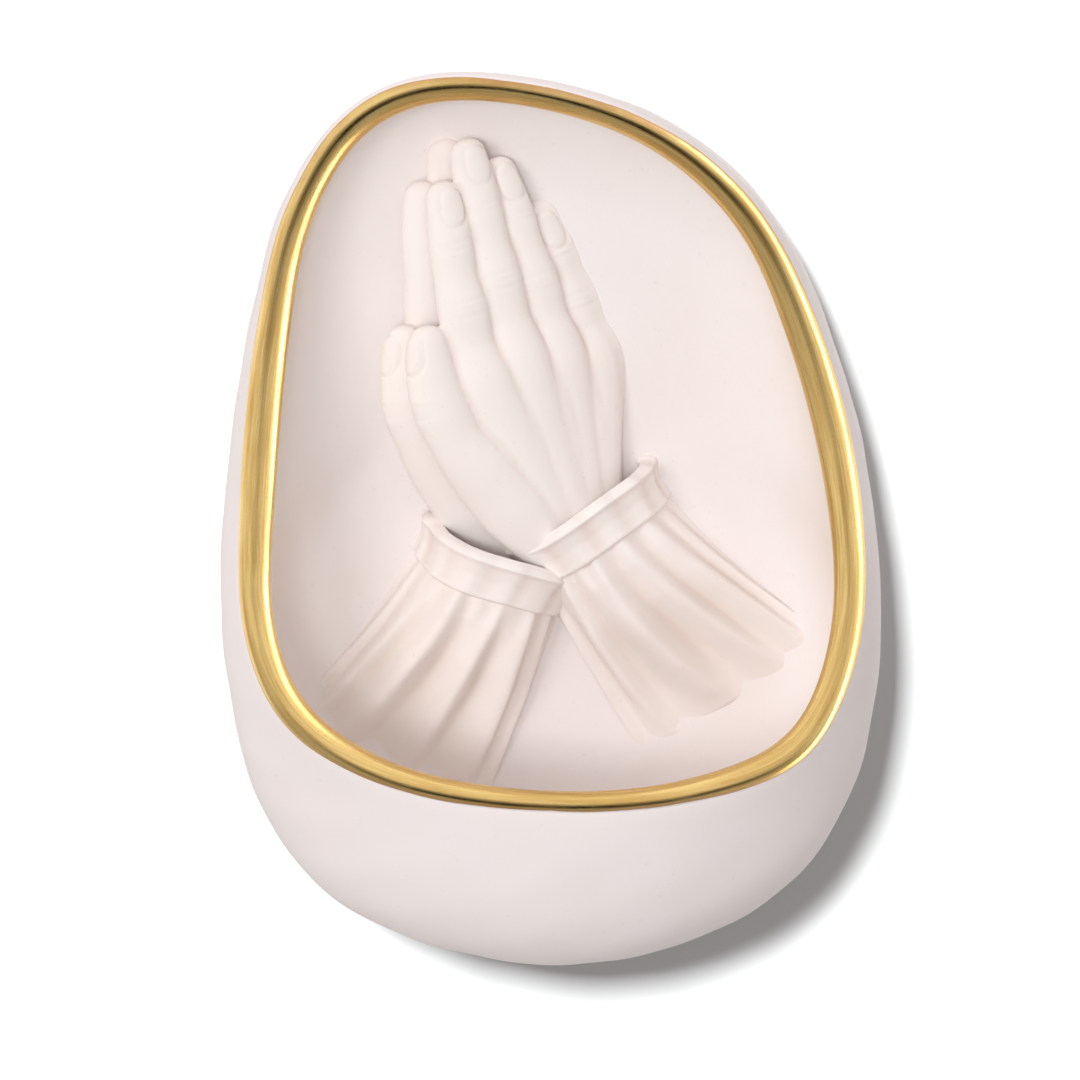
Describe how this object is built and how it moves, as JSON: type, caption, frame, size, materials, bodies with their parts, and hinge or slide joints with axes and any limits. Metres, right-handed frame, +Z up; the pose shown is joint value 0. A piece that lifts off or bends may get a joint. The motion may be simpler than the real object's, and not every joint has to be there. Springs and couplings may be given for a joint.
{
  "type": "holy water stoup",
  "caption": "Wall-hung porcelain holy water stoup: a hollow egg-shaped body with a slanted open niche, a water basin at its foot, a gilded lip and a relief of joined hands.",
  "frame": {"origin": "on the back plate's rear face, in the wall plane, at the centre that the body's outline is drawn round", "axes": "+Z up, +Y into the wall, -Y out of the niche towards the room, +X to the viewer's right"},
  "size_m": [0.1163, 0.058, 0.1598],
  "materials": {
    "bisque": "matt unglazed porcelain, warm white",
    "gilding": "brushed-on gold lustre, polished"
  },
  "bodies": {
    "root": {"outer_shell": "bisque", "niche_liner": "bisque", "back_plate": "bisque", "gilt_rim": "gilding", "right_hand": "bisque", "left_hand": "bisque", "right_cuff": "bisque", "left_cuff": "bisque", "right_sleeve": "bisque", "left_sleeve": "bisque"}
  },
  "joints": []
}
